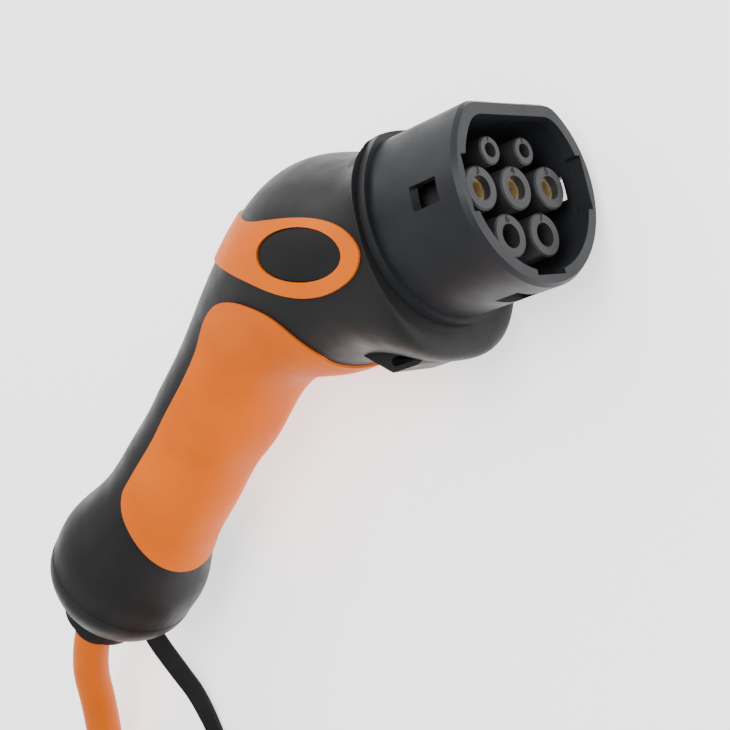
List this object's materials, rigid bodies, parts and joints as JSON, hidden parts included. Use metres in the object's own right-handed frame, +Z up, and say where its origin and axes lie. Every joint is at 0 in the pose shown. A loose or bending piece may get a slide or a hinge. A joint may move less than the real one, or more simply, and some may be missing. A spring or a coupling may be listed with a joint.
{
  "type": "ev charging plug",
  "caption": "Hand-held charging connector with D-shaped seven-way nose, angled grip, side buttons, coiled cable and tethered dust cap.",
  "frame": {"origin": "bottom centre of the plug's own box, without its cable, strap and cap, on the surface it lies on", "axes": "+X the way the nose points, +Y towards the housing's spine, +Z up, out of the plug's right-hand side"},
  "size_m": [0.3246, 0.4351, 0.087],
  "materials": {
    "black_shell": "fine moulded texture",
    "insulator": "smooth moulded",
    "orange_soft": "satin soft-touch",
    "seal_rubber": "matte",
    "contact_metal": "turned",
    "cable_sheath": "satin extruded"
  },
  "bodies": {
    "plug": {"nose_shroud": "black_shell", "housing_right": "black_shell", "housing_left": "black_shell", "end_cap": "black_shell", "gland_nut": "black_shell", "lanyard_eye": "black_shell", "contact_insulator": "insulator", "contact_retainer": "insulator", "switch_block": "insulator", "grip": "orange_soft", "accent_band": "orange_soft", "nose_gasket": "seal_rubber", "gland_sleeve": "seal_rubber", "strap_loop": "seal_rubber", "strap": "seal_rubber", "dust_cap": "seal_rubber", "cable_end": "seal_rubber", "contact_n": "contact_metal", "contact_pe": "contact_metal", "contact_l1": "contact_metal", "contact_cp": "contact_metal", "contact_pp": "contact_metal", "cable": "cable_sheath", "cable_coil": "cable_sheath"},
    "button_right": {"button_right": "black_shell"},
    "button_left": {"button_left": "black_shell"}
  },
  "joints": [
    {"name": "button_right_press", "type": "slide", "parent": "plug", "child": "button_right", "axis": [0, 0, -1], "range_m": [0, 0.0018], "stiffness_N_per_m": 900},
    {"name": "button_left_press", "type": "slide", "parent": "plug", "child": "button_left", "axis": [0, 0, 1], "range_m": [0, 0.0018], "stiffness_N_per_m": 900}
  ]
}
